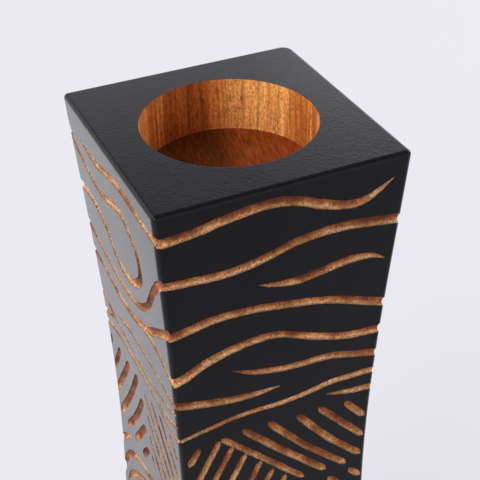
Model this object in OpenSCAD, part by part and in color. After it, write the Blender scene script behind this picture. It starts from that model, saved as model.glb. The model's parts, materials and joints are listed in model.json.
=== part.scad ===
// Square candlestick with a waist, a drilled seat for a tealight and felt pads.
// The block is glued up from three upright boards.
// Millimetres. +Z is up, -Y is the front. The origin is on the table,
// under the middle of the base.

/* [Block] */
// Overall height, felt pads included
height = 200; // [140:1:300]
// Width of the square top and of the square base
top_w = 60; // [50:0.5:90]
// Width of the square waist
waist_w = 51.3; // [44:0.1:62]
// Height of the waist above the table
waist_z = 100; // [50:1:130]
// Turn of the curve between the waist and the top, in degrees
flare_turn = 112; // [60:1:150]
// Width of the flat that breaks each outside edge
edge_break = 1; // [0.4:0.1:3]

/* [Boards] */
// Thickness of the left board and of the middle board
board_t = 21; // [15:0.5:26]

/* [Tealight seat] */
// Diameter of the drilled seat
seat_d = 41; // [30:0.5:51]
// Depth of the drilled seat
seat_depth = 13.5; // [6:0.5:20]

/* [Felt pads] */
// Diameter of a pad
pad_d = 12; // [6:0.5:18]
// Thickness of a pad
pad_t = 1.5; // [0.8:0.1:4]
// Gap between a pad and the sides of the base
pad_margin = 5; // [1:0.5:8]

/* [Hidden] */

// Flat strips that make up the curve of one side
strips = 32;
// How far a cutting shape runs past what it cuts
over = 1;
// Curved pieces are true circles
$fn = 96;

base_z = pad_t;
seam_1 = board_t - top_w / 2;
seam_2 = seam_1 + board_t;
pad_at = top_w / 2 - pad_margin - pad_d / 2;
reach = max(top_w, waist_w);

board_colour = "#2a2829";
felt_colour = "#3a3a3c";

// How far a height is from the waist, from 0 at the waist to 1 at the top or base
function from_waist(z) =
  z > waist_z ? (z - waist_z) / (height - waist_z) : (waist_z - z) / (waist_z - base_z);

// Half width of the block at a height
function half_w(z) =
  (waist_w + (top_w - waist_w) * (1 - cos(flare_turn * from_waist(z))) / (1 - cos(flare_turn))) / 2;

// Half width across the corners, where the upright edges are broken
function half_diagonal(z) = (2 * half_w(z) - edge_break) / sqrt(2);

function strip_z(i) = base_z + edge_break + (height - base_z - 2 * edge_break) * i / strips;

// One side of the block's outline, from the base to the top
function side_points(across_corners) =
  let (half = function(z) across_corners ? half_diagonal(z) : half_w(z))
  concat(
    [[half(base_z) - edge_break, base_z]],
    [for (i = [0 : strips]) [half(strip_z(i)), strip_z(i)]],
    [[half(height) - edge_break, height]]
  );

// The outline standing upright, drawn out sideways past the block
module drawn_outline(across_corners) {
  right_side = side_points(across_corners);
  last = len(right_side) - 1;
  left_side = [for (i = [0 : last]) [-right_side[last - i][0], right_side[last - i][1]]];
  rotate([90, 0, 0])
    linear_extrude(height = 2 * reach, center = true)
      polygon(concat(right_side, left_side));
}

// The whole waisted block with its edges broken
module block() {
  intersection() {
    drawn_outline(false);
    rotate([0, 0, 90]) drawn_outline(false);
    rotate([0, 0, 45]) drawn_outline(true);
    rotate([0, 0, -45]) drawn_outline(true);
  }
}

module seat() {
  translate([0, 0, height - seat_depth])
    cylinder(d = seat_d, h = seat_depth + over);
}

// The part of the block between two seams
module board(x_from, x_to) {
  color(board_colour)
    difference() {
      intersection() {
        block();
        translate([x_from, -reach, 0]) cube([x_to - x_from, 2 * reach, height + over]);
      }
      seat();
    }
}

module board_left() {
  board(-reach, seam_1);
}

module board_middle() {
  board(seam_1, seam_2);
}

module board_right() {
  board(seam_2, reach);
}

// One felt pad; across and back are -1 or 1 and choose its corner
module felt_pad(across, back) {
  color(felt_colour)
    translate([across * pad_at, back * pad_at, 0])
      cylinder(d = pad_d, h = pad_t);
}

board_left();
board_middle();
board_right();
felt_pad(-1, -1);  // felt_pad_front_left
felt_pad(1, -1);  // felt_pad_front_right
felt_pad(-1, 1);  // felt_pad_back_left
felt_pad(1, 1);  // felt_pad_back_right
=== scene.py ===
"""The looks of a carved tealight candlestick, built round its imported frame."""

import json
import math
from collections import namedtuple

import bmesh
import bpy
import numpy as np
from bpy.props import FloatProperty, FloatVectorProperty, PointerProperty
from mathutils import Matrix, Vector, noise


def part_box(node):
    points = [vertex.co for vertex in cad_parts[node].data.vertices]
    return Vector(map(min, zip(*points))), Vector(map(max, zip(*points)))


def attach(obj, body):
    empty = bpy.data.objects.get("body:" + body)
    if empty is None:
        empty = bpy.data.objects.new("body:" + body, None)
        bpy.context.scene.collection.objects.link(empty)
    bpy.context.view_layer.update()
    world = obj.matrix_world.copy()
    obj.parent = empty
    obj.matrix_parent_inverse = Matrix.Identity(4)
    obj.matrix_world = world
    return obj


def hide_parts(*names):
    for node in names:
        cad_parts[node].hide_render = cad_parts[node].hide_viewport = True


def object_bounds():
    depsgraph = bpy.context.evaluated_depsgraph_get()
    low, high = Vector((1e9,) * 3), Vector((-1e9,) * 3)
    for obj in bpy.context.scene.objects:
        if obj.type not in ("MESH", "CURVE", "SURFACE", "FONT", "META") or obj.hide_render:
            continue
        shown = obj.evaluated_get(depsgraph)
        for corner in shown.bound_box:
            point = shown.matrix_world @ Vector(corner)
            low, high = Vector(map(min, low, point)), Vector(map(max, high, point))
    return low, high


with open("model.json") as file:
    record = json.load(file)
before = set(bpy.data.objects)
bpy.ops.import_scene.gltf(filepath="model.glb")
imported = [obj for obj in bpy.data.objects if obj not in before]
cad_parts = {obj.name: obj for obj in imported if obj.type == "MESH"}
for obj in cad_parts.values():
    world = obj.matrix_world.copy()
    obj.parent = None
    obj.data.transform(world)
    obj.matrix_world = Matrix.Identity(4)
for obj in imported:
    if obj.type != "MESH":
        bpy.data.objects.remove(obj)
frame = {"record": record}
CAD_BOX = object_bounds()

bl_info = {
    "name": "Carved Candlestick",
    "version": (1, 0, 0),
    "blender": (4, 5, 0),
    "location": "View3D > Sidebar > Candlestick",
    "description": "Carves, paints and lights a waisted wooden candlestick",
    "category": "Add Mesh",
}

MM = 0.001
BODY = "root"
# Material slots of a board, and how many there are
PAINTED, CARVED, DRILLED = 0, 1, 2
BOARD_SLOTS = 3
# A Mix node has sockets for each type of data: these are its colour ones
FIRST, SECOND, MIXED = 6, 7, 2
BLENDED = {"data_type": "RGBA"}
MULTIPLIED = {"data_type": "RGBA", "blend_type": "MULTIPLY"}


def linear(hex_colour):
    """An sRGB hex colour as the linear values that shaders take."""
    parts = [int(hex_colour[i:i + 2], 16) / 255 for i in (1, 3, 5)]
    return tuple(c / 12.92 if c <= 0.04045 else ((c + 0.055) / 1.055) ** 2.4 for c in parts)


def opaque(colour):
    """The colour with full opacity, as sockets take it."""
    return (*colour, 1.0)


# ---------------------------------------------------------------------------
# Sizes that come from the frame

BOARDS = ("board_left", "board_middle", "board_right")
PADS = tuple("felt_pad_" + corner for corner in (
    "front_left", "front_right", "back_left", "back_right"))
SEAT = next(m for m in frame["record"]["mounts"] if m["name"] == "tealight_seat")

HEIGHT = CAD_BOX[1].z
BASE_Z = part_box("board_middle")[0].z
SEAM_1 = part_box("board_middle")[0].x
SEAM_2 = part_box("board_middle")[1].x
SEAT_R = SEAT["dims"]["r_mm"] * MM
SEAT_DEPTH = SEAT["dims"]["length_mm"] * MM
# How far the rim of the seat is rounded over
RIM_EASE = 0.15 * MM


class CandlestickShape(bpy.types.PropertyGroup):
    top_width: FloatProperty(
        name="Top width", description="Width of the square top before its edges are rounded",
        default=60.3 * MM, unit="LENGTH")
    waist_width: FloatProperty(
        name="Waist width", description="Width of the square waist",
        default=51.6 * MM, unit="LENGTH")
    waist_height: FloatProperty(
        name="Waist height", description="Height of the waist above the table",
        default=100 * MM, unit="LENGTH")
    flare_turn: FloatProperty(
        name="Flare turn", description="Turn of the curve between the waist and the top",
        default=math.radians(112), subtype="ANGLE")
    corner_round: FloatProperty(
        name="Corner rounding", description="Radius of the other three upright corners",
        default=1.2 * MM, unit="LENGTH")
    worn_corner_round: FloatProperty(
        name="Worn corner rounding",
        description="Radius of the upright corner at the back right, which is worn",
        default=3 * MM, unit="LENGTH")
    rim_round: FloatProperty(
        name="Rim rounding", description="Radius of the edges round the top and the base",
        default=1.15 * MM, unit="LENGTH")
    groove_depth: FloatProperty(
        name="Groove depth", description="Depth of a groove as a share of its width",
        default=0.43, subtype="FACTOR")
    hand_wobble: FloatProperty(
        name="Hand wobble", description="How far a groove's edge strays from its line",
        default=0.1 * MM, unit="LENGTH")


class CandlestickColours(bpy.types.PropertyGroup):
    paint: FloatVectorProperty(
        name="Paint", description="The black satin paint",
        default=linear("#0e0b0e"), subtype="COLOR")
    wood_dark: FloatVectorProperty(
        name="Dark wood", description="The darkest streaks of the seat",
        default=linear("#92481c"), subtype="COLOR")
    wood_pore: FloatVectorProperty(
        name="Pores", description="The open pores of the bare wood",
        default=linear("#4a2410"), subtype="COLOR")
    wood_brown: FloatVectorProperty(
        name="Brown wood", description="The brown streaks of the seat",
        default=linear("#aa5c26"), subtype="COLOR")
    wood_red: FloatVectorProperty(
        name="Red wood", description="The red brown streaks of the seat",
        default=linear("#c07338"), subtype="COLOR")
    wood_gold: FloatVectorProperty(
        name="Golden wood", description="The golden streaks of the seat",
        default=linear("#d8914e"), subtype="COLOR")
    wood_pale: FloatVectorProperty(
        name="Pale wood", description="The palest streaks of the seat",
        default=linear("#e8a65a"), subtype="COLOR")
    # Left part of the seat's floor: end grain darkened as painted shadow of the rim
    floor_rim_shadow: FloatVectorProperty(
        name="Seat floor, brown", description="The end grain of the seat's floor on the left",
        default=linear("#542708"), subtype="COLOR")
    floor_red: FloatVectorProperty(
        name="Seat floor, red", description="The end grain of the seat's floor on the right",
        default=linear("#8a421a"), subtype="COLOR")
    cut_brown: FloatVectorProperty(
        name="Carved wood, brown", description="The darker stretches of the carved grooves",
        default=linear("#924f22"), subtype="COLOR")
    # Darkest stop of the grooves' ramp: painted shade at the bottom of deep cuts and under upper
    # walls
    cut_deep_shade: FloatVectorProperty(
        name="Carved wood, deep", description="The bottom of the deepest cuts",
        default=linear("#642c10"), subtype="COLOR")
    cut_tan: FloatVectorProperty(
        name="Carved wood, tan", description="The middle tone of the carved grooves",
        default=linear("#b2743c"), subtype="COLOR")
    # Palest stop of the grooves' ramp: random pale stretches, and lower lips that face up,
    # lightened as painted light
    cut_pale_and_lit: FloatVectorProperty(
        name="Carved wood, pale", description="The paler stretches of the carved grooves",
        default=linear("#deac7c"), subtype="COLOR")
    felt: FloatVectorProperty(
        name="Felt", description="The pads under the base",
        default=linear("#3a3a3c"), subtype="COLOR")
    floor: FloatVectorProperty(
        name="Floor", description="The pale floor",
        default=linear("#88888c"), subtype="COLOR")
    floor_glow: FloatVectorProperty(
        name="Floor glow", description="The light that the floor gives off behind the object",
        default=linear("#c4c4c8"), subtype="COLOR")


# ---------------------------------------------------------------------------
# The block: a square whose half width follows a cosine from the waist to its ends

def half_width(shape, z):
    """Half the width of the block at a height."""
    if z > shape.waist_height:
        reach = HEIGHT - shape.waist_height
    else:
        reach = shape.waist_height - BASE_Z
    share = abs(z - shape.waist_height) / reach
    rise = (1 - math.cos(shape.flare_turn * share)) / (1 - math.cos(shape.flare_turn))
    return (shape.waist_width + (shape.top_width - shape.waist_width) * rise) / 2


def outline_levels(shape):
    """(height, inset) of each ring from the base to the top, with the ends rounded."""
    end_steps, strips = 5, 66
    r = shape.rim_round
    ends = [(r * (1 - math.sin(t)), r * (1 - math.cos(t)))
            for t in (i * math.pi / 2 / end_steps for i in range(end_steps, 0, -1))]
    low = [(BASE_Z + lift, inset) for lift, inset in ends]
    high = [(HEIGHT - lift, inset) for lift, inset in reversed(ends)]
    z_from, z_to = BASE_Z + r, HEIGHT - r
    side = [(z_from + (z_to - z_from) * i / strips, 0.0) for i in range(strips + 1)]
    return low + side + high


def corner_arc(x, y, radius, start):
    """A quarter turn round (x, y), anticlockwise from an angle in degrees."""
    steps = 6
    angles = [math.radians(start + 90 * i / steps) for i in range(steps + 1)]
    return [(x + radius * math.cos(a), y + radius * math.sin(a)) for a in angles]


def board_ring(shape, z, inset, x_from, x_to):
    """The outline of one board at a height, anticlockwise from above."""
    half = half_width(shape, z) - inset
    r = shape.corner_round - inset
    worn = shape.worn_corner_round - inset
    if x_from is None:
        ring = [(x_to, half), *corner_arc(r - half, half - r, r, 90),
                *corner_arc(r - half, r - half, r, 180), (x_to, -half)]
    elif x_to is None:
        ring = [(x_from, -half), *corner_arc(half - r, r - half, r, -90),
                *corner_arc(half - worn, half - worn, worn, 0), (x_from, half)]
    else:
        ring = [(x_from, -half), (x_to, -half), (x_to, half), (x_from, half)]
    return [(x, y, z) for x, y in ring]


def band_faces(low, high, count):
    """The faces between two rings of vertices, which start at low and at high."""
    pairs = [(i, (i + 1) % count) for i in range(count)]
    return [(low + i, low + j, high + j, high + i) for i, j in pairs]


def board_block(shape, name, x_from, x_to):
    """One board of the block before it is carved, as a closed mesh."""
    rings = [board_ring(shape, z, inset, x_from, x_to) for z, inset in outline_levels(shape)]
    count = len(rings[0])
    verts = [p for ring in rings for p in ring]
    faces = []
    for level in range(len(rings) - 1):
        faces += band_faces(level * count, (level + 1) * count, count)
    faces.append(tuple(reversed(range(count))))
    faces.append(tuple(range(len(verts) - count, len(verts))))
    mesh = bpy.data.meshes.new(name)
    mesh.from_pydata(verts, [], faces)
    return mesh


def outer_normal(shape, p):
    """The direction that the uncarved block faces at a point on its surface."""
    touching, tiny = 0.001 * MM, 1e-9
    if p.z > HEIGHT - touching:
        return Vector((0, 0, 1))
    up = Vector((0, 0, 1 if p.z > HEIGHT / 2 else -1))
    step = 0.5 * MM
    slope = (half_width(shape, p.z + step) - half_width(shape, p.z - step)) / (2 * step)
    at_worn_corner = p.x > 0 and p.y > 0
    corner = shape.worn_corner_round if at_worn_corner else shape.corner_round
    core = half_width(shape, p.z) - corner
    out_x, out_y = max(abs(p.x) - core, 0.0), max(abs(p.y) - core, 0.0)
    side = Vector((math.copysign(out_x, p.x), math.copysign(out_y, p.y), 0))
    if side.length < tiny:
        return up
    side.normalize()
    side.z = -slope
    side.normalize()
    r = shape.rim_round
    over = (p.z - (HEIGHT - r)) / r if p.z > HEIGHT / 2 else (BASE_Z + r - p.z) / r
    if over <= 0:
        return side
    lift = math.asin(min(over, 1.0))
    return (side * math.cos(lift) + up * math.sin(lift)).normalized()


# ---------------------------------------------------------------------------
# The carving. A groove's points are (across, down) in millimetres on one face:
# across runs to the right from the middle of the face, as seen from outside,
# and down runs from the top. An open end runs out over a corner, a tip fades
# to a point, and a round end stops short like a slot's.

Groove = namedtuple("Groove", "start end widths points")
# What a groove takes out: a closed mesh, its middle line and its widest width in millimetres
Cut = namedtuple("Cut", "verts faces centres widest")
# Cuts that come closer than this, in millimetres, are taken out one after the other
CUT_CLEARANCE = 1.6
# How the hand strays along a groove: the length of a swing in millimetres, how much the groove's
# seed counts, and the layer of the noise
SLOW, QUICK, DEPTH, DRIFT = (5.0, 7.3, 0), (1.3, 3.1, 5), (1.8, 5.7, 9), (3.0, 2.9, 13)
# The front's waves sit a little to the left of where they are listed, in millimetres
FRONT_SHIFT = -0.3

FRONT_WAVES = (
    Groove("open", "tip", (2.4, 2.6, 2.2), (
        (-32, 5.6), (-29.5, 6.6), (-26, 6.8), (-20, 6.1), (-14, 5), (-9, 4.3), (-4, 4), (0, 4.5),
        (4, 5.7), (8, 7.5), (12, 9), (16, 9.9), (19.5, 9.6), (22.5, 8.1), (26.2, 5.7))),
    Groove("open", "open", (2.2, 2.3, 2.7), (
        (-32, 18.2), (-28, 18.4), (-22, 19), (-14, 19.5), (-8, 18.9), (-3, 17.7), (2, 16.3),
        (6, 15.7), (10, 15.4), (16, 15.6), (21, 16.3), (26, 17.1), (32, 18))),
    Groove("tip", "tip", (2.2, 2.4, 2.4), (
        (-6, 25.4), (-3, 26.3), (0, 26.9), (4, 27.2), (8, 26.8), (12, 26.2), (16, 25.6),
        (19, 25.8), (22, 26.2), (24, 27), (26.2, 28.2))),
    Groove("open", "open", (2.8, 2.2, 2.1, 2.8), (
        (-31, 33.3), (-26.5, 33.2), (-23, 32.6), (-18, 31.8), (-13, 31.6), (-6, 32.2), (0, 33.3),
        (6, 34.5), (12, 36), (18, 38.2), (22, 39.9), (26, 41.4), (31, 43.2))),
    Groove("open", "open", (3, 2.6, 2, 2.1, 2.7), (
        (-30, 48.8), (-27, 47.6), (-24, 46.7), (-20, 44.6), (-15, 42.9), (-10, 41.9), (-5, 41.5),
        (-1, 41.9), (4, 43.9), (8, 45.8), (12, 47.4), (16, 48.8), (20, 49.7), (24, 50),
        (30, 50.3))),
    Groove("tip", "open", (1.8, 2, 2.3), (
        (-12.2, 49.2), (-8, 51.1), (-5, 52.1), (0, 53.3), (5, 53.8), (10, 54), (14, 54.5),
        (18, 55.5), (22, 56.8), (25, 57.6), (30, 58.9))),
    Groove("open", "tip", (2.5, 2.3, 2), (
        (-30, 54), (-26.5, 54.8), (-24, 55.6), (-18, 57.2), (-12, 58.4), (-6, 59), (0.3, 58.9))),
    Groove("open", "open", (1.1, 1.4, 1.7, 2.1), (
        (-29.5, 67.4), (-26, 67), (-23, 66.4), (-18, 65.6), (-12, 64.7), (-6, 64.6), (0, 64.9),
        (5, 64.7), (10, 64), (14, 63.4), (20, 63.5), (25, 63.7), (29.5, 63.9))),
    Groove("tip", "open", (2, 2), ((13.2, 67.2), (17, 68.2), (20, 68.8), (24, 69.3), (29.5, 70))),
)

LEFT_WAVES = (
    Groove("tip", "open", (2.2, 2.4), (
        (-20.5, 8.1), (-14.5, 8.5), (-9, 8.6), (-4.5, 7.6), (0.5, 6.6), (6, 5.6), (11, 5.4),
        (16.5, 5.8), (22, 6.1), (27, 6.3), (32, 5.8))),
    Groove("open", "open", (2.1, 2.3, 2.6, 2.6), (
        (-32, 5.4), (-29, 8.9), (-25.5, 12), (-20, 14.3), (-14.4, 16), (-7, 16.3), (-1.5, 14.9),
        (3.5, 13.6), (7.5, 14), (11.3, 16.2), (14, 19.2), (14.8, 22.5), (14, 26.3), (11.3, 29.4),
        (7.3, 32), (2.7, 33.3), (-1.3, 33), (-4.6, 31.4), (-8, 27.8), (-12, 25.3), (-16.5, 23.9),
        (-22.5, 23.6), (-28, 24.4), (-32, 25.2))),
    Groove("open", "open", (2.3, 2.1, 2.5), (
        (-31.5, 34.6), (-27.5, 35.4), (-21, 37), (-14.5, 38.4), (-8, 39.3), (-1.3, 39.5),
        (5.3, 38.6), (11.3, 36.3), (16.5, 32.4), (20.5, 27.1), (24.5, 21.8), (28, 18.5),
        (32, 16.3))),
    Groove("open", "open", (2.3, 2.2, 2.7), (
        (-31, 42.6), (-26, 43.9), (-21, 44.6), (-14.5, 45.6), (-9, 46.5), (-3.3, 46.5), (2, 45.9),
        (6, 44.9), (10, 43.2), (15.2, 40.8), (19.2, 38), (24, 34.8), (28, 32.4), (32, 30.4))),
    Groove("tip", "open", (2.3, 2.4), (
        (6, 45.2), (11.5, 43.9), (16.5, 43.8), (22, 45), (26, 46.9), (30, 48.9))),
    Groove("tip", "open", (1.4, 1.5), (
        (-13.5, 57.1), (-8, 55.6), (-1.5, 54.5), (5.3, 54.1), (12, 54.2), (18.5, 54.5), (24, 55.2),
        (30, 55.4))),
    Groove("open", "tip", (1.6, 1.2), (
        (-30, 56.6), (-24.5, 57.5), (-19, 59.2), (-14, 60.6), (-9, 60.9), (-2.5, 61.6), (4, 61.9),
        (10.5, 61.7), (16.5, 60.8), (22, 59.7), (27.5, 57.8))),
    Groove("open", "tip", (1.8, 1.8), ((-30, 65.5), (-25, 63.6), (-20.5, 61.6), (-14, 59.6))),
    Groove("open", "tip", (1.8, 1.5), (
        (-29.5, 68.6), (-25, 67.3), (-21, 66.1), (-14.5, 65), (-8, 64.7), (-1.3, 65), (5.3, 65.4),
        (12, 65.3), (18.5, 64.6), (23, 63.6), (27.3, 61.9))),
    Groove("tip", "open", (1.3, 1.3), (
        (12, 66.9), (17, 67.5), (22, 67.6), (26, 67), (29.5, 66.2))),
)

RIGHT_WAVES = (
    Groove("tip", "tip", (2.4, 2.4), (
        (-24, 7), (-16, 9.2), (-8, 8.8), (0, 6.3), (8, 4.7), (16, 4.9), (23.5, 6.8))),
    Groove("open", "open", (2.6, 2.5), (
        (-32, 16.8), (-28, 18.3), (-22, 20.2), (-15, 20), (-8, 17.5), (-1, 14), (6, 11.6),
        (13, 11.2), (20, 13), (26, 14.8), (32, 16))),
    Groove("tip", "open", (2.5, 2.6), (
        (-20, 29.2), (-14, 27.4), (-6, 25.6), (2, 23.5), (10, 23), (18, 24.8), (25, 27.5),
        (32, 29.2))),
    Groove("open", "open", (2.6, 2.6), (
        (-31, 41), (-27, 42.6), (-21, 43.5), (-14, 42), (-7, 38.5), (0, 34.8), (7, 33), (14, 34),
        (21, 36.8), (26, 38), (31, 38.6))),
    Groove("open", "open", (2.8, 2.4), (
        (-30.5, 49.6), (-26, 50.7), (-19, 51.8), (-12, 51), (-5, 48), (2, 44.6), (9, 42.8),
        (16, 43.8), (22, 46), (30.5, 48))),
    Groove("open", "tip", (2.4, 2.2), (
        (-30, 57.8), (-25, 58.9), (-18, 60), (-10, 58.8), (-2, 55.4), (6, 52.8), (14, 53),
        (20, 54.8), (26, 57.8))),
    Groove("open", "open", (2.1, 1.9), (
        (-30, 63.8), (-24, 65), (-16, 66), (-8, 65), (0, 62), (8, 60.2), (16, 61), (23, 62.8),
        (29.5, 63.7))),
    Groove("open", "tip", (1.9, 1.8), ((-29.5, 69.8), (-24, 70.6), (-18, 70.4), (-12, 69.2))),
)

BACK_WAVES = (
    Groove("tip", "tip", (2.2, 2.2), ((-24, 7.6), (-17, 7.8), (-11, 6.2), (-4, 4))),
    Groove("open", "open", (2.5, 2.7), (
        (-32, 14.4), (-28, 15.6), (-21, 16.5), (-13, 14.6), (-5, 10.9), (3, 8), (11, 7.2), (19, 8),
        (25, 9.1), (32, 10))),
    Groove("open", "open", (2.6, 2.9), (
        (-31.5, 28.2), (-27, 29.3), (-20, 29), (-12, 26), (-4, 21.8), (4, 18.8), (12, 18.5),
        (20, 21), (26, 23.7), (31.5, 25.4))),
    Groove("open", "open", (2.6, 2.6), (
        (-31, 37.8), (-26, 38.9), (-18, 38.2), (-10, 34.6), (-2, 30.6), (6, 28.8), (14, 29.7),
        (21, 32.6), (26, 34.7), (31, 36))),
    Groove("open", "open", (2.4, 2.9), (
        (-30.5, 47.2), (-25, 48.2), (-17, 47), (-9, 43), (-1, 39.2), (7, 37.9), (15, 39.5),
        (22, 42.2), (31, 45.2))),
    Groove("tip", "open", (2.2, 2), (
        (-24, 54.8), (-16, 53.2), (-8, 49.8), (0, 47.4), (8, 47.7), (16, 50.3), (22, 53.8),
        (26, 56.2), (30, 58))),
    Groove("open", "open", (1.9, 1.9), (
        (-30, 63.3), (-24, 63.8), (-16, 61.8), (-8, 58.2), (0, 56.3), (8, 57.1), (15, 60),
        (21, 62.7), (26, 64), (30, 65))),
    Groove("tip", "open", (2, 2.1), (
        (-20, 68.4), (-12, 66.6), (-4, 64.6), (4, 64.5), (12, 66), (20, 67.6), (29.5, 68.8))),
)


def slot(width, *points):
    """A straight or bent groove with two round ends."""
    return Groove("round", "round", (width, width), points)


# The comb: long slots down to the right, and teeth that hang from the lowest one.
FRONT_SLOTS = (
    slot(2, (18.4, 72.2), (24.6, 79.7)),
    slot(2, (11, 71.2), (24.6, 86.8)),
    slot(2, (4.9, 71.1), (14.5, 83.4), (24.3, 93.6)),
    slot(2, (-3, 70.3), (7.4, 82.8), (19.9, 95.3)),
    slot(2.1, (-9.9, 69.9), (1, 81.8), (13.9, 94.9)),
    slot(1.8, (-15.6, 70.5), (-5, 81.6), (7.5, 94.8)),
    slot(1.8, (-15.9, 71), (-19.2, 77.5), (-22.6, 84.6)),
    slot(1.8, (-12.5, 74.6), (-15.6, 80.6), (-19.4, 88.6)),
    slot(1.8, (-9, 78.4), (-12, 84.6), (-15.8, 92.6)),
    slot(1.8, (-4.8, 83), (-8, 89.6), (-11.4, 96.4)),
    slot(1.8, (-1.4, 87.4), (-4, 92.4), (-6.6, 98)),
    slot(1.8, (2.2, 91.2), (0.6, 95), (-1.2, 98.8)),
    slot(2.1, (-21.3, 71.2), (-24.1, 76.7)),
)

# The herringbone: slots that fall away from the middle of the face on both sides.
LEFT_SLOTS = (
    slot(2.2, (-23.8, 71.5), (-25, 75.2)),
    slot(2.3, (-16.6, 71.2), (-24.2, 83.2)),
    slot(2.5, (-9.5, 70.6), (-24.4, 91.6)),
    slot(2.5, (-3, 69.9), (-12.4, 84.6), (-23.8, 100.2)),
    slot(2.5, (-0.8, 76.6), (-8.4, 88.6), (-18, 101)),
    slot(2.5, (-0.9, 86.4), (-12, 101)),
    slot(2.4, (-0.2, 94.4), (-6, 101.2)),
    slot(2, (19.4, 70.2), (24, 76)),
    slot(2, (12.8, 69.9), (23.8, 83.8)),
    slot(2, (7, 70.4), (23.6, 91.4)),
    slot(2, (1.8, 71.8), (21, 96)),
    slot(2, (1.8, 79.4), (15.2, 96.8)),
    slot(2, (1.8, 87.2), (9.4, 97.2)),
    slot(2, (2, 94.2), (4.4, 97.6)),
)

# Under the herringbone, waves that spring from the middle and fall to the left.
LEFT_ARCHES = (
    Groove("tip", "open", (2, 2.2), ((-15.5, 103.8), (-20, 106.6), (-23.4, 110), (-28, 115.5))),
    Groove("tip", "open", (2, 2.5), (
        (12, 101.6), (6, 103.6), (0, 105.4), (-6, 107), (-12, 108.6), (-17.5, 111.8), (-22, 117.4),
        (-25, 123.4), (-28, 130))),
    Groove("tip", "tip", (2.2, 2.5), (
        (23, 101), (16, 104.4), (9, 107.6), (1, 110.4), (-7, 113), (-14, 117), (-19.4, 122),
        (-23, 128.4))),
    Groove("open", "tip", (2.2, 2.4), (
        (28.5, 106), (22, 109.6), (14, 113), (5, 116.2), (-4, 119.6), (-12, 124.2),
        (-17.5, 129.6))),
    Groove("open", "tip", (2, 2.2), (
        (28.5, 115.4), (21, 118.6), (12, 121.4), (3, 124.8), (-6, 129.6))),
)


def falling_slots():
    """The second row of the comb: parallel slots cut off by the row's end and by the corner."""
    count, width = 8, 2
    first_across, first_down = 20.9, 97.8
    spacing, drop = 6.3, 0.5
    corner, row_end, slope = 24.6, 127.0, 1.12
    slots = []
    for i in range(count):
        across = first_across - spacing * i
        down = first_down + drop * i
        run = min(corner - across, (row_end - down) / slope)
        slots.append(slot(width, (across, down), (across + run, down + run * slope)))
    return tuple(slots)


def moved(grooves, across):
    """The same grooves shifted along the face, to the right where across is positive."""
    return tuple(g._replace(points=tuple((u + across, d) for u, d in g.points)) for g in grooves)


def flipped(grooves):
    """The same grooves drawn from right to left."""
    return tuple(g._replace(points=tuple((-u, d) for u, d in g.points)) for g in grooves)


def upside_down(grooves):
    """The same grooves counted from the base."""
    whole = HEIGHT / MM
    return tuple(g._replace(points=tuple((u, whole - d) for u, d in g.points)) for g in grooves)


# Quarter turns of each face from the front, and what is carved on it
CARVING = {
    "front": (0, moved(FRONT_WAVES, FRONT_SHIFT) + FRONT_SLOTS + falling_slots()
              + upside_down(FRONT_WAVES)),
    "right": (1, RIGHT_WAVES + flipped(LEFT_SLOTS + LEFT_ARCHES) + upside_down(RIGHT_WAVES)),
    "back": (2, BACK_WAVES + flipped(FRONT_SLOTS + falling_slots()) + upside_down(BACK_WAVES)),
    "left": (3, LEFT_WAVES + LEFT_SLOTS + LEFT_ARCHES + upside_down(LEFT_WAVES)),
}


def smooth_line(points, step):
    """Even points along a smooth curve through the given ones, and how far along each is."""
    samples, fewest = 24, 8
    pts = [Vector(p) for p in points]
    if len(pts) == 2:
        pts.insert(1, (pts[0] + pts[1]) / 2)
    pts = [2 * pts[0] - pts[1]] + pts + [2 * pts[-1] - pts[-2]]
    dense = []
    for a, b, c, d in zip(pts, pts[1:], pts[2:], pts[3:]):
        for i in range(samples):
            t = i / samples
            dense.append(0.5 * (2 * b + (c - a) * t + (2 * a - 5 * b + 4 * c - d) * t * t
                                + (3 * b - a - 3 * c + d) * t ** 3))
    dense.append(pts[-2])
    lengths = [0.0]
    for a, b in zip(dense, dense[1:]):
        lengths.append(lengths[-1] + (b - a).length)
    count = max(fewest, round(lengths[-1] / step))
    along = np.linspace(0, lengths[-1], count + 1)
    flat = np.array([tuple(p) for p in dense])
    line = np.column_stack([np.interp(along, lengths, flat[:, k]) for k in (0, 1)])
    return line, along


def end_share(kind, distance, width):
    """How wide a groove still is at a distance from its end, from 0 to 1."""
    if kind == "open":
        return 1.0
    # A tip takes several widths to fade, a round end about one; neither closes to nothing
    taper, least = (4.5, 0.08) if kind == "tip" else (1.1, 0.12)
    t = min(distance / (taper * width), 1.0)
    if kind == "tip":
        return max(least, t ** 0.75 * (1.35 - 0.35 * t))
    return max(least, math.sqrt(1 - (1 - t) ** 2))


def corner_share(kind, distance):
    """How deep a groove is cut near its end: it is shallower where it runs out over a corner."""
    if kind != "open":
        return 1.0
    shallow, flat, ramp = 0.5, 2, 6
    return shallow + (1 - shallow) * min(max(distance - flat, 0) / ramp, 1.0)


def turned(p, quarters):
    """A point turned round the upright axis by quarter turns."""
    for _ in range(quarters):
        p = (-p[1], p[0], p[2])
    return p


def stray(kind, distance, seed):
    """How the hand strays at a distance along a groove, from -1 to 1."""
    swing, seed_step, layer = kind
    return noise.noise(Vector((distance / swing, seed * seed_step, layer)))


def gouge_profile(width, deep):
    """The section of a cut, in millimetres: (across, depth) from above one edge to above the
    other. It stands clear of the face, and its bottom is a little fuller than an ellipse."""
    sides, clear, fullness = 10, 1.3, 0.85
    angles = [math.pi * k / sides for k in range(sides + 1)]
    under = [(-math.cos(a) * width / 2, deep * math.sin(a) ** fullness) for a in angles]
    return [(-width / 2, -clear), *under, (width / 2, -clear)]


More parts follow.
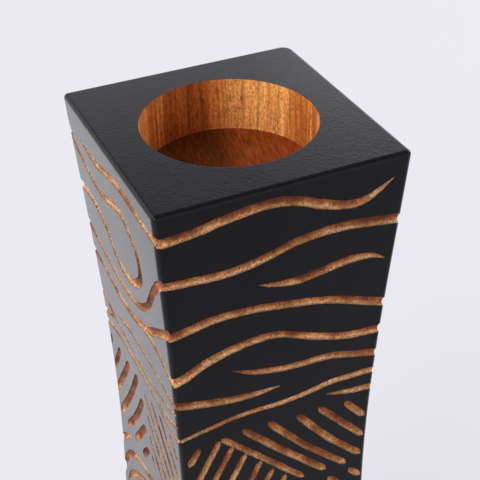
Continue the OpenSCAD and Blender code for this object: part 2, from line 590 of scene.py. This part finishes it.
def groove_solid(shape, groove, quarters, seed):
    """The wood that a gouge takes out along one groove, as a Cut."""
    # Millimetres between sections, and how much the hand changes the width and the depth
    step, width_stray, depth_stray = 0.65, 0.07, 0.10
    wobble = shape.hand_wobble / MM
    line, along = smooth_line(groove.points, step)
    length = along[-1]
    tangent = np.gradient(line, axis=0)
    tangent /= np.linalg.norm(tangent, axis=1)[:, None]
    verts, faces, centres = [], [], []
    for i, (here, s) in enumerate(zip(line, along)):
        width = np.interp(s / length, np.linspace(0, 1, len(groove.widths)), groove.widths)
        share = min(end_share(groove.start, s, width), end_share(groove.end, length - s, width))
        width = (width * share * (1 + width_stray * stray(SLOW, s, seed))
                 + wobble * stray(QUICK, s, seed) * share)
        deep = shape.groove_depth * width * (1 + depth_stray * stray(DEPTH, s, seed))
        deep *= min(corner_share(groove.start, s), corner_share(groove.end, length - s))
        across = np.array((-tangent[i][1], tangent[i][0]))
        middle = here + across * (wobble * stray(DRIFT, s, seed))
        centre_half = half_width(shape, HEIGHT - middle[1] * MM) / MM
        centres.append(turned((middle[0], -centre_half, HEIGHT / MM - middle[1]), quarters))
        profile = gouge_profile(width, deep)
        for off, down_in in profile:
            u, d = middle + across * off
            z = HEIGHT - d * MM
            surface = half_width(shape, z) / MM
            verts.append(turned((u * MM, (down_in - surface) * MM, z), quarters))
        ring = len(profile)
        if i:
            faces += band_faces((i - 1) * ring, i * ring, ring)
    faces.append(tuple(range(ring)))
    faces.append(tuple(reversed(range(len(verts) - ring, len(verts)))))
    return Cut(verts, faces, np.array(centres), max(groove.widths))


def groove_groups(shape):
    """Every groove of the block, sorted into groups in which no two cuts touch."""
    cuts = []
    for quarters, grooves in CARVING.values():
        for groove in grooves:
            cuts.append(groove_solid(shape, groove, quarters, len(cuts) + 1))
    groups = []
    for cut in cuts:
        for group in groups:
            if not any(cuts_touch(cut, other) for other in group):
                group.append(cut)
                break
        else:
            groups.append([cut])
    return groups


def cuts_touch(one, other):
    """Whether two cuts come so close that they can't be taken out as one mesh."""
    gap = (one.widest + other.widest) / 2 + CUT_CLEARANCE
    a, b = one.centres, other.centres
    if (a.min(0) > b.max(0) + gap).any() or (b.min(0) > a.max(0) + gap).any():
        return False
    return (np.linalg.norm(a[:, None] - b[None], axis=2) < gap).any()


def closed_mesh(name, solids, slot_number):
    """One mesh that holds several separate closed solids, each facing outwards."""
    verts, faces = [], []
    for solid_verts, solid_faces in solids:
        start = len(verts)
        verts += solid_verts
        faces += [tuple(start + i for i in face) for face in solid_faces]
    mesh = bpy.data.meshes.new(name)
    mesh.from_pydata(verts, [], faces)
    bm = bmesh.new()
    bm.from_mesh(mesh)
    bmesh.ops.recalc_face_normals(bm, faces=bm.faces)
    bmesh.ops.triangulate(bm, faces=bm.faces)
    for face in bm.faces:
        face.material_index = slot_number
    bm.to_mesh(mesh)
    bm.free()
    return mesh


def lathe(profile, centre, segments):
    """A closed turned solid: (radius, height) pairs from its lower axis to its upper one."""
    verts = [(centre[0], centre[1], profile[0][1])]
    for r, z in profile[1:-1]:
        for i in range(segments):
            a = 2 * math.pi * i / segments
            verts.append((centre[0] + r * math.cos(a), centre[1] + r * math.sin(a), z))
    verts.append((centre[0], centre[1], profile[-1][1]))
    rings = len(profile) - 2
    faces = [(0, 1 + (i + 1) % segments, 1 + i) for i in range(segments)]
    for level in range(rings - 1):
        faces += band_faces(1 + level * segments, 1 + (level + 1) * segments, segments)
    last, top = 1 + (rings - 1) * segments, len(verts) - 1
    faces += [(last + i, last + (i + 1) % segments, top) for i in range(segments)]
    return verts, faces


def seat_mesh():
    """What the drill takes out for the tealight, with a soft inner corner and an eased rim."""
    fillet, steps, segments = 0.4 * MM, 4, 160
    floor, above = HEIGHT - SEAT_DEPTH, HEIGHT + 2 * MM
    turns = [math.pi / 2 * i / steps for i in range(steps + 1)]
    profile = [(0, floor)]
    profile += [(SEAT_R - fillet * (1 - math.sin(a)), floor + fillet * (1 - math.cos(a)))
                for a in turns]
    profile += [(SEAT_R + RIM_EASE * (1 - math.cos(a)), HEIGHT - RIM_EASE * (1 - math.sin(a)))
                for a in turns]
    profile += [(SEAT_R + RIM_EASE, above), (0, above)]
    return closed_mesh("seat", [lathe(profile, SEAT["pos_m"], segments)], DRILLED)


def cut_away(board, cutter_mesh):
    """Takes a closed mesh out of a board, and keeps the mesh's material in the cut."""
    cutter = add_object("cutter", cutter_mesh)
    modifier = board.modifiers.new("cut", "BOOLEAN")
    modifier.operation = "DIFFERENCE"
    modifier.solver = "MANIFOLD"
    modifier.object = cutter
    bpy.context.view_layer.update()
    evaluated = board.evaluated_get(bpy.context.evaluated_depsgraph_get())
    result = bpy.data.meshes.new_from_object(evaluated)
    board.modifiers.clear()
    old = board.data
    board.data = result
    bpy.data.objects.remove(cutter)
    bpy.data.meshes.remove(cutter_mesh)
    bpy.data.meshes.remove(old)


def tidy_mesh(mesh):
    """Joins doubled points, drops slivers that the cuts left and marks the sharp edges."""
    sliver, crease = 0.002 * MM, math.radians(38)
    downward, base_top = -0.9, BASE_Z + 0.01 * MM
    bm = bmesh.new()
    bm.from_mesh(mesh)
    bmesh.ops.remove_doubles(bm, verts=bm.verts, dist=sliver)
    bmesh.ops.dissolve_degenerate(bm, edges=bm.edges, dist=sliver)
    for face in bm.faces:
        face.smooth = True
        # The base is left bare
        if face.normal.z < downward and face.calc_center_median().z < base_top:
            face.material_index = CARVED
    for edge in bm.edges:
        if len(edge.link_faces) != 2:
            continue
        a, b = edge.link_faces
        same = a.material_index == b.material_index
        edge.smooth = same and a.normal.angle(b.normal, 0) < crease
    bm.to_mesh(mesh)
    bm.free()
    while len(mesh.materials) > BOARD_SLOTS:
        mesh.materials.pop()


def shade_paint(shape, mesh):
    """Gives painted faces the smooth flow of the uncarved block, and leaves the cuts alone."""
    sideways, seam_gap, alike = 0.999, 0.01 * MM, 0.6
    cache = {}
    normals = [Vector((0, 0, 0))] * len(mesh.loops)
    for polygon in mesh.polygons:
        if polygon.material_index != PAINTED:
            continue
        off_seam = min(abs(polygon.center.x - seam) for seam in (SEAM_1, SEAM_2))
        if abs(polygon.normal.x) > sideways and off_seam < seam_gap:
            continue
        for loop in polygon.loop_indices:
            vertex = mesh.loops[loop].vertex_index
            if vertex not in cache:
                cache[vertex] = outer_normal(shape, mesh.vertices[vertex].co)
            if cache[vertex].dot(polygon.normal) > alike:
                normals[loop] = cache[vertex]
    mesh.normals_split_custom_set(normals)


# ---------------------------------------------------------------------------
# Materials


def add_node(tree, kind, values=None, **settings):
    """Adds a node; values maps an input's name or number to a constant or the output it takes."""
    node = tree.nodes.new(kind)
    for key, value in settings.items():
        setattr(node, key, value)
    for key, value in (values or {}).items():
        if isinstance(value, bpy.types.NodeSocket):
            tree.links.new(value, node.inputs[key])
        else:
            node.inputs[key].default_value = value
    return node


def new_material(name):
    """An empty material, its node tree and the place in it that patterns are laid out by."""
    material = bpy.data.materials.new(name)
    material.use_nodes = True
    tree = material.node_tree
    tree.nodes.clear()
    return material, tree, add_node(tree, "ShaderNodeTexCoord").outputs["Object"]


def set_stops(ramp, stops):
    """Gives a colour ramp its (place, colour) stops."""
    elements = ramp.color_ramp.elements
    while len(elements) > 1:
        elements.remove(elements[-1])
    elements[0].position, elements[0].color = stops[0][0], opaque(stops[0][1])
    for place, colour in stops[1:]:
        elements.new(place).color = opaque(colour)


def grain_patterns(tree, place, *rows):
    """One uneven pattern per row of (grain size in mm along x, y and z, detail, roughness)."""
    patterns = []
    for size_mm, detail, roughness in rows:
        scale = tuple(1 / (s * MM) for s in size_mm)
        at = add_node(tree, "ShaderNodeVectorMath", {0: place, 1: scale}, operation="MULTIPLY")
        pattern = add_node(tree, "ShaderNodeTexNoise", {
            "Vector": at.outputs[0], "Scale": 1.0, "Detail": detail, "Roughness": roughness})
        patterns.append(pattern.outputs["Fac"])
    return patterns


def finish_surface(tree, relief, strength, depth_mm, inputs):
    """Ends a material: its relief stands out by depth_mm, and inputs go to the shader."""
    bump = add_node(tree, "ShaderNodeBump", {
        "Strength": strength, "Distance": depth_mm * MM, "Height": relief}).outputs[0]
    normals = {"Normal": bump}
    if "Coat Weight" in inputs:
        normals["Coat Normal"] = bump
    shader = add_node(tree, "ShaderNodeBsdfPrincipled", {**inputs, **normals})
    add_node(tree, "ShaderNodeOutputMaterial", {"Surface": shader.outputs[0]})


def satin_paint(colours):
    """Black satin acrylic, sprayed over sanded wood: an even dark film with a soft sheen,
    a fine orange peel and the grain just telling through it."""
    material, tree, place = new_material("black_satin_paint")
    # Clouds in the film, orange peel, and the grain beneath it
    cloud, peel, grain = grain_patterns(
        tree, place,
        ((14, 14, 26), 2.0, 0.5), ((0.7, 0.7, 0.7), 2.5, 0.6), ((0.9, 0.9, 16), 2.0, 0.5))
    tone = add_node(tree, "ShaderNodeMapRange", {
        "Value": cloud, "From Min": 0.3, "From Max": 0.7, "To Min": 0.86, "To Max": 1.14})
    colour = add_node(tree, "ShaderNodeMix", {
        "Factor": 1.0, FIRST: opaque(colours.paint), SECOND: tone.outputs[0]}, **MULTIPLIED)
    rough = add_node(tree, "ShaderNodeMapRange", {
        "Value": cloud, "From Min": 0.3, "From Max": 0.7, "To Min": 0.22, "To Max": 0.28})
    relief = add_node(tree, "ShaderNodeMath", {
        0: grain, 1: 0.5, 2: peel}, operation="MULTIPLY_ADD")
    finish_surface(tree, relief.outputs[0], 0.6, 0.06, {
        "Base Color": colour.outputs[MIXED], "Roughness": rough.outputs[0], "IOR": 1.2,
        "Coat Weight": 1.0, "Coat Roughness": 0.22, "Coat IOR": 1.2})
    return material


# The colours of a board's streaks in the seat, from left to right, and where each lies in
# millimetres from the middle
STREAKS = {
    "board_left": (
        (-20.5, "gold"), (-18, "red"), (-15.5, "red"), (-13.5, "brown"), (-12, "brown"),
        (-10.5, "red"), (-9, "brown")),
    "board_middle": (
        (-9, "dark"), (-7, "dark"), (-5, "dark"), (-3.5, "brown"), (-1.5, "dark"), (0.5, "dark"),
        (3, "brown"), (5, "red"), (7, "red"), (8.8, "gold"), (12, "gold")),
    "board_right": (
        (12, "gold"), (13.5, "pale"), (15, "pale"), (16.5, "gold"), (17.8, "pale"), (19, "gold"),
        (19.7, "red"), (20.3, "brown"), (20.5, "gold")),
}
STREAK_SPAN = (-SEAT["dims"]["r_mm"], SEAT["dims"]["r_mm"])


def depth_under_paint(tree, place, shape):
    """How far a place lies inside the uncarved block, in millimetres."""
    swing = (shape.top_width - shape.waist_width) / 2 / (1 - math.cos(shape.flare_turn))
    turn_per_m = shape.flare_turn / (HEIGHT - shape.waist_height)
    parts = add_node(tree, "ShaderNodeSeparateXYZ", {0: place})
    value = {axis: parts.outputs[axis] for axis in "XYZ"}
    for name, operation, *terms in (
            ("rise", "SUBTRACT", "Z", shape.waist_height),
            ("turn", "MULTIPLY", "rise", turn_per_m),
            ("wave", "COSINE", "turn"),
            ("half", "MULTIPLY_ADD", "wave", -swing, shape.waist_width / 2 + swing),
            ("across", "ABSOLUTE", "X"),
            ("back", "ABSOLUTE", "Y"),
            ("out", "MAXIMUM", "across", "back"),
            ("depth", "SUBTRACT", "half", "out"),
            ("depth_mm", "MULTIPLY", "depth", 1 / MM)):
        inputs = {i: value.get(term, term) for i, term in enumerate(terms)}
        value[name] = add_node(tree, "ShaderNodeMath", inputs, operation=operation).outputs[0]
    return value["depth_mm"]


def wood_grain(tree, place, fibre_range, fleck_range, fleck_size):
    """The light and dark of upright fibres and short flecks, where the pores are, and a relief."""
    # Fibres are drawn as bundles, and pores at about twice their real width, so that they show
    fibre, fleck, pore = grain_patterns(
        tree, place,
        ((0.9, 0.9, 24), 3.0, 0.6), (fleck_size, 2.0, 0.65), ((0.35, 0.35, 2.2), 1.0, 0.5))
    fibre_tone = add_node(tree, "ShaderNodeMapRange", {
        "Value": fibre, "From Min": 0.32, "From Max": 0.68,
        "To Min": fibre_range[0], "To Max": fibre_range[1]})
    fleck_tone = add_node(tree, "ShaderNodeMapRange", {
        "Value": fleck, "From Min": 0.34, "From Max": 0.66,
        "To Min": fleck_range[0], "To Max": fleck_range[1]})
    tone = add_node(tree, "ShaderNodeMath", {
        0: fibre_tone.outputs[0], 1: fleck_tone.outputs[0]}, operation="MULTIPLY")
    pores = add_node(tree, "ShaderNodeMapRange", {
        "Value": pore, "From Min": 0.62, "From Max": 0.70, "To Min": 0.0, "To Max": 0.6})
    relief = add_node(tree, "ShaderNodeMath", {
        0: pores.outputs[0], 1: -1.0, 2: fleck}, operation="MULTIPLY_ADD")
    return tone.outputs[0], pores.outputs[0], relief.outputs[0]


def drilled_mango(colours, board):
    """Mango wood in the seat, bored with a drill bit and lacquered: broad golden, red and dark
    brown streaks that belong to each board, fine upright fibres, and a darker end-grain floor
    whose left part is darkened further as painted shadow of the rim."""
    named = {"dark": colours.wood_dark, "brown": colours.wood_brown, "red": colours.wood_red,
             "gold": colours.wood_gold, "pale": colours.wood_pale}
    material, tree, place = new_material("drilled_mango_" + board)
    # The streaks stand side by side and sway by about a millimetre on their way up
    sway, = grain_patterns(tree, place, ((5, 5, 45), 3.0, 0.5))
    middle = add_node(tree, "ShaderNodeMath", {0: sway, 1: 0.5}, operation="SUBTRACT")
    parts = add_node(tree, "ShaderNodeSeparateXYZ", {0: place})
    bent = add_node(tree, "ShaderNodeMath", {
        0: middle.outputs[0], 1: 2.2 * MM, 2: parts.outputs["X"]}, operation="MULTIPLY_ADD")
    low, high = STREAK_SPAN
    where = add_node(tree, "ShaderNodeMapRange", {
        "Value": bent.outputs[0], "From Min": low * MM, "From Max": high * MM})
    figure = add_node(tree, "ShaderNodeValToRGB", {"Fac": where.outputs[0]})
    set_stops(figure, [((x - low) / (high - low), named[name]) for x, name in STREAKS[board]])
    tone, pores, relief = wood_grain(tree, place, (0.62, 1.34), (0.68, 1.34), (0.45, 0.45, 0.8))
    streaked = add_node(tree, "ShaderNodeMix", {
        "Factor": 1.0, FIRST: figure.outputs["Color"], SECOND: tone}, **MULTIPLIED)
    wall = add_node(tree, "ShaderNodeMix", {
        "Factor": pores, FIRST: streaked.outputs[MIXED],
        SECOND: opaque(colours.wood_pore)}, **BLENDED)

    # The floor is cut across the grain: close dark and red lines that lean a little to the right
    lean = math.radians(14)
    lines_x, lines_y = (
        add_node(tree, "ShaderNodeVectorMath", {0: place, 1: along}, operation="DOT_PRODUCT")
        for along in ((math.cos(lean), -math.sin(lean), 0), (math.sin(lean), math.cos(lean), 0)))
    lines_at = add_node(tree, "ShaderNodeCombineXYZ", {
        "X": lines_x.outputs["Value"], "Y": lines_y.outputs["Value"]})
    lines, = grain_patterns(tree, lines_at.outputs[0], ((0.6, 5, 1), 3.0, 0.6))
    line_tone = add_node(tree, "ShaderNodeMapRange", {
        "Value": lines, "From Min": 0.32, "From Max": 0.68, "To Min": 0.5, "To Max": 1.45})
    # The left part of the floor is darkened as painted shadow of the rim; the right keeps the end
    # grain's own red
    side = add_node(tree, "ShaderNodeMapRange", {
        "Value": lines_x.outputs["Value"], "From Min": -1 * MM, "From Max": 5 * MM})
    floor_base = add_node(tree, "ShaderNodeMix", {
        "Factor": side.outputs[0], FIRST: opaque(colours.floor_rim_shadow),
        SECOND: opaque(colours.floor_red)}, **BLENDED)
    floor = add_node(tree, "ShaderNodeMix", {
        "Factor": 1.0, FIRST: floor_base.outputs[MIXED],
        SECOND: line_tone.outputs[0]}, **MULTIPLIED)
    facing = add_node(tree, "ShaderNodeNewGeometry")
    upward = add_node(tree, "ShaderNodeSeparateXYZ", {0: facing.outputs["Normal"]})
    lying = add_node(tree, "ShaderNodeMapRange", {
        "Value": upward.outputs["Z"], "From Min": 0.5, "From Max": 0.9})
    colour = add_node(tree, "ShaderNodeMix", {
        "Factor": lying.outputs[0], FIRST: wall.outputs[MIXED],
        SECOND: floor.outputs[MIXED]}, **BLENDED)
    finish_surface(tree, relief, 0.5, 0.1, {
        "Base Color": colour.outputs[MIXED], "Roughness": 0.5, "IOR": 1.5,
        "Specular IOR Level": 0.12})
    return material


def gouged_mango(colours, shape, board):
    """Mango wood where a gouge has cut through the paint: paler on its lower lip, which faces up,
    and darker under its upper wall, as painted light and shade;
    darker and redder deep down, as painted shade; and darker close under the paint near its edges,
    partly from paint smudged into them and partly as painted shade."""
    material, tree, place = new_material("gouged_mango_" + board)
    patch, = grain_patterns(tree, place, ((8, 8, 8), 4.0, 0.6))
    patch_share = add_node(tree, "ShaderNodeMapRange", {
        "Value": patch, "From Min": 0.34, "From Max": 0.66, "To Min": 0.15, "To Max": 0.95})
    # Wood facing up is lightened and wood facing down darkened, as painted light and shade, on top
    # of random patches
    facing = add_node(tree, "ShaderNodeNewGeometry")
    upward = add_node(tree, "ShaderNodeSeparateXYZ", {0: facing.outputs["Normal"]})
    painted_light_and_patches = add_node(tree, "ShaderNodeMath", {
        0: upward.outputs["Z"], 1: 0.5, 2: patch_share.outputs[0]}, operation="MULTIPLY_ADD")
    depth = depth_under_paint(tree, place, shape)
    # Cuts deeper than half a millimetre are darkened towards their bottom, as painted shade
    painted_deep_shade = add_node(tree, "ShaderNodeMapRange", {
        "Value": depth, "From Min": 0.5, "From Max": 1.2, "To Min": 0.0, "To Max": -0.4})
    pale = add_node(tree, "ShaderNodeMath", {
        0: painted_light_and_patches.outputs[0], 1: painted_deep_shade.outputs[0]}, operation="ADD")
    figure = add_node(tree, "ShaderNodeValToRGB", {"Fac": pale.outputs[0]})
    set_stops(figure, ((0.0, colours.cut_deep_shade), (0.3, colours.cut_brown), (0.6, colours.cut_tan),
                       (1.0, colours.cut_pale_and_lit)))
    # Wood within 0.6 mm of the face is darkened, partly as paint smudged into the cut and partly
    # as painted shade along its edges
    edge = add_node(tree, "ShaderNodeMapRange", {
        "Value": depth, "From Min": 0.0, "From Max": 0.6, "To Min": 0.45, "To Max": 1.0})
    tone, pores, relief = wood_grain(tree, place, (0.85, 1.15), (0.48, 1.52), (0.4, 0.4, 0.6))
    paint_soil_and_edge_shade = add_node(tree, "ShaderNodeMix", {
        "Factor": 1.0, FIRST: figure.outputs["Color"], SECOND: edge.outputs[0]}, **MULTIPLIED)
    worn = add_node(tree, "ShaderNodeMix", {
        "Factor": 1.0, FIRST: paint_soil_and_edge_shade.outputs[MIXED], SECOND: tone}, **MULTIPLIED)
    colour = add_node(tree, "ShaderNodeMix", {
        "Factor": pores, FIRST: worn.outputs[MIXED], SECOND: opaque(colours.wood_pore)}, **BLENDED)
    finish_surface(tree, relief, 0.8, 0.2, {
        "Base Color": colour.outputs[MIXED], "Roughness": 0.6, "IOR": 1.5,
        "Specular IOR Level": 0.35})
    return material


def wool_felt(colours):
    """Pressed wool felt, stamped out: matt, dense and slightly hairy."""
    material, tree, place = new_material("pressed_wool_felt")
    # The hairs are drawn about ten times as thick as wool, so that they show
    hairs, = grain_patterns(tree, place, ((0.25, 0.25, 0.25), 4.0, 0.7))
    tone = add_node(tree, "ShaderNodeMapRange", {
        "Value": hairs, "From Min": 0.3, "From Max": 0.7, "To Min": 0.6, "To Max": 1.5})
    colour = add_node(tree, "ShaderNodeMix", {
        "Factor": 1.0, FIRST: opaque(colours.felt), SECOND: tone.outputs[0]}, **MULTIPLIED)
    finish_surface(tree, hairs, 0.8, 0.15, {
        "Base Color": colour.outputs[MIXED], "Roughness": 0.95, "IOR": 1.45,
        "Specular IOR Level": 0.2, "Sheen Weight": 0.3})
    return material


# The patch of the shooting table that is lit less: its middle and the radii between which the
# glow comes back, in millimetres, and the share of the glow that is left in its middle
PATCH_MIDDLE = (70, -215, 0)
PATCH_RADII = (100, 255)
PATCH_GLOW = 0.3


def backlit_acrylic(colours):
    """White acrylic shooting table, lit from beneath: it glows evenly but for a soft patch in
    front of the object, which keeps the front face dark."""
    material, tree, place = new_material("backlit_white_acrylic")
    away = add_node(tree, "ShaderNodeVectorMath", {
        0: place, 1: tuple(c * MM for c in PATCH_MIDDLE)}, operation="DISTANCE")
    share = add_node(tree, "ShaderNodeMapRange", {
        "Value": away.outputs["Value"], "From Min": PATCH_RADII[0] * MM,
        "From Max": PATCH_RADII[1] * MM, "To Min": PATCH_GLOW}, interpolation_type="SMOOTHSTEP")
    glow = add_node(tree, "ShaderNodeMix", {
        "Factor": share.outputs[0], FIRST: opaque((0.0, 0.0, 0.0)),
        SECOND: opaque(colours.floor_glow)}, **BLENDED)
    # The frosting's tooth is drawn far coarser than the real one, so that it shows at all
    tooth, = grain_patterns(tree, place, ((1.5, 1.5, 1.5), 2.0, 0.5))
    finish_surface(tree, tooth, 0.05, 0.05, {
        "Base Color": opaque(colours.floor), "Roughness": 0.9, "Specular IOR Level": 0.1,
        "Emission Color": glow.outputs[MIXED], "Emission Strength": 1.0})
    return material


# ---------------------------------------------------------------------------
# Operators


def add_object(name, data):
    """Puts a mesh, a light or a camera in the scene."""
    piece = bpy.data.objects.new(name, data)
    bpy.context.scene.collection.objects.link(piece)
    return piece


class CANDLESTICK_OT_carve_boards(bpy.types.Operator):
    """Build the three glued boards, carve the grooves, drill the seat and paint what is left"""

    bl_idname = "candlestick.carve_boards"
    bl_label = "Carve Boards"

    def execute(self, context):
        shape, colours = context.scene.candlestick_shape, context.scene.candlestick_colours
        paint = satin_paint(colours)
        groups = groove_groups(shape)
        spans = ((None, SEAM_1), (SEAM_1, SEAM_2), (SEAM_2, None))
        for name, (x_from, x_to) in zip(BOARDS, spans):
            board = add_object("carved_" + name, board_block(shape, name, x_from, x_to))
            board.data.materials.append(paint)
            board.data.materials.append(gouged_mango(colours, shape, name))
            board.data.materials.append(drilled_mango(colours, name))
            for group in groups:
                near = [(c.verts, c.faces) for c in group if self.meets(c.verts, x_from, x_to)]
                if near:
                    cut_away(board, closed_mesh("grooves", near, CARVED))
            cut_away(board, seat_mesh())
            tidy_mesh(board.data)
            shade_paint(shape, board.data)
            board.data.name = board.name
            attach(board, BODY)
            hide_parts(name)
        return {"FINISHED"}

    @staticmethod
    def meets(verts, x_from, x_to):
        """Whether a cut reaches into the board between two seams."""
        xs = [v[0] for v in verts]
        return (x_from is None or max(xs) > x_from) and (x_to is None or min(xs) < x_to)


class CANDLESTICK_OT_stick_felt_pads(bpy.types.Operator):
    """Stamp four felt pads and stick them under the base"""

    bl_idname = "candlestick.stick_felt_pads"
    bl_label = "Stick Felt Pads"

    def execute(self, context):
        felt = wool_felt(context.scene.candlestick_colours)
        for name in PADS:
            low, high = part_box(name)
            pad = add_object("stamped_" + name, self.pad_mesh(name, low, high))
            pad.data.materials.append(felt)
            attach(pad, BODY)
            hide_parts(name)
        return {"FINISHED"}

    @staticmethod
    def pad_mesh(name, low, high):
        """A stamped disc: its cut edge bulges a little and is torn, its lower rim worn round."""
        radius, centre = (high.x - low.x) / 2, (low + high) / 2
        ease, segments = 0.3 * MM, 72
        tear_depth, tear_size, tear_from = 0.12 * MM, 0.7 * MM, 0.8 * radius
        profile = [(0, low.z), (radius * 0.5, low.z), (radius - 2 * ease, low.z),
                   (radius - ease, low.z + 0.05 * MM), (radius - 0.4 * ease, low.z + 0.5 * ease),
                   (radius, centre.z), (radius - 0.15 * ease, high.z - 0.4 * ease),
                   (radius - 0.5 * ease, high.z), (0, high.z)]
        verts, faces = lathe(profile, centre, segments)
        rough = []
        for x, y, z in verts:
            out = Vector((x - centre.x, y - centre.y, 0))
            pull = tear_depth * max(0, noise.noise(Vector((x, y, z)) / tear_size))
            if out.length > tear_from:
                out *= 1 - pull / radius
            rough.append((centre.x + out.x, centre.y + out.y, z))
        mesh = bpy.data.meshes.new(name)
        mesh.from_pydata(rough, [], faces)
        bm = bmesh.new()
        bm.from_mesh(mesh)
        bmesh.ops.recalc_face_normals(bm, faces=bm.faces)
        for face in bm.faces:
            face.smooth = True
        bm.to_mesh(mesh)
        bm.free()
        return mesh


class CANDLESTICK_OT_set_stage(bpy.types.Operator):
    """Lay the pale floor, hang the soft lights and place the camera"""

    bl_idname = "candlestick.set_stage"
    bl_label = "Set Stage"

    def execute(self, context):
        self.floor(context.scene.candlestick_colours)
        self.lights()
        self.world(context)
        self.camera(context)
        context.scene.view_settings.view_transform = "Standard"
        return {"FINISHED"}

    @staticmethod
    def floor(colours):
        """A wide flat floor at the height of the table, which is zero."""
        cells, half_size = 8, 4.0
        mesh = bpy.data.meshes.new("floor")
        bm = bmesh.new()
        bmesh.ops.create_grid(bm, x_segments=cells, y_segments=cells, size=half_size)
        bm.to_mesh(mesh)
        bm.free()
        floor = add_object("floor", mesh)
        floor.data.materials.append(backlit_acrylic(colours))

    @staticmethod
    def lights():
        """Soft boxes that look at the candlestick's middle: name, place, size, watts, colour."""
        target = Vector((0, 0, HEIGHT / 2))
        boxes = (
            ("key", (-1.3, -0.55, 1.15), 1.1, 16, "#fffdfa"),
            ("back_left", (-1.0, 0.9, 1.3), 1.0, 9, "#fbfbff"),
            ("right", (1.5, 0.2, 1.15), 1.0, 15, "#fffdf8"),
            ("glow", (1.15, 1.25, 0.62), 0.9, 2, "#f0f0ff"),
        )
        for name, place, size, watts, colour in boxes:
            light = bpy.data.lights.new(name, "AREA")
            light.shape = "SQUARE"
            light.size = size
            light.energy = watts
            light.color = linear(colour)
            lamp = add_object(name, light)
            lamp.location = place
            lamp.rotation_euler = (target - Vector(place)).to_track_quat("-Z", "Y").to_euler()

    @staticmethod
    def world(context):
        """A pale backdrop all round that dims above head height."""
        world = bpy.data.worlds.new("studio")
        context.scene.world = world
        world.use_nodes = True
        tree = world.node_tree
        tree.nodes.clear()
        place = add_node(tree, "ShaderNodeTexCoord").outputs["Generated"]
        height = add_node(tree, "ShaderNodeSeparateXYZ", {0: place})
        shade = add_node(tree, "ShaderNodeValToRGB", {"Fac": height.outputs["Z"]})
        stops = ((0.44, "#f4f4fa"), (0.57, "#92909a"), (1.0, "#8c8a94"))
        set_stops(shade, [(share, linear(colour)) for share, colour in stops])
        sky = add_node(tree, "ShaderNodeBackground", {
            "Color": shade.outputs["Color"], "Strength": 1.0})
        add_node(tree, "ShaderNodeOutputWorld", {"Surface": sky.outputs[0]})

    @staticmethod
    def camera(context):
        """Looks down on one corner from close by, as a hand-held close-up does."""
        azimuth, elevation, roll = (math.radians(a) for a in (-23.88, 34.98, -1.21))
        place = Vector((-86.4, -199.9, 319.1)) * MM
        back = Vector((math.sin(azimuth) * math.cos(elevation),
                       -math.cos(azimuth) * math.cos(elevation), math.sin(elevation)))
        right = Vector((0, 0, 1)).cross(back).normalized()
        turn = Matrix((right, back.cross(right), back)).transposed()
        camera = add_object("camera", bpy.data.cameras.new("camera"))
        camera.data.lens = 81.55
        camera.data.sensor_width = 36.0
        camera.data.clip_start = 0.01
        rolled = turn @ Matrix.Rotation(roll, 3, "Z")
        camera.matrix_world = Matrix.Translation(place) @ rolled.to_4x4()
        context.scene.camera = camera


class CANDLESTICK_PT_panel(bpy.types.Panel):
    """Lists the candlestick's steps, sizes and colours"""

    bl_idname = "CANDLESTICK_PT_panel"
    bl_label = "Candlestick"
    bl_space_type = "VIEW_3D"
    bl_region_type = "UI"
    bl_category = "Candlestick"

    def draw(self, context):
        for operator in OPERATORS:
            self.layout.operator(operator.bl_idname)
        for group in (context.scene.candlestick_shape, context.scene.candlestick_colours):
            column = self.layout.column(align=True)
            for key in group.__annotations__:
                column.prop(group, key)


OPERATORS = (CANDLESTICK_OT_carve_boards, CANDLESTICK_OT_stick_felt_pads, CANDLESTICK_OT_set_stage)
CLASSES = (CandlestickShape, CandlestickColours, *OPERATORS, CANDLESTICK_PT_panel)


def register():
    for cls in CLASSES:
        bpy.utils.register_class(cls)
    bpy.types.Scene.candlestick_shape = PointerProperty(type=CandlestickShape)
    bpy.types.Scene.candlestick_colours = PointerProperty(type=CandlestickColours)


def unregister():
    del bpy.types.Scene.candlestick_colours
    del bpy.types.Scene.candlestick_shape
    for cls in reversed(CLASSES):
        bpy.utils.unregister_class(cls)


def main():
    register()
    bpy.ops.candlestick.set_stage()
    bpy.ops.candlestick.carve_boards()
    bpy.ops.candlestick.stick_felt_pads()


if __name__ == "__main__":
    main()
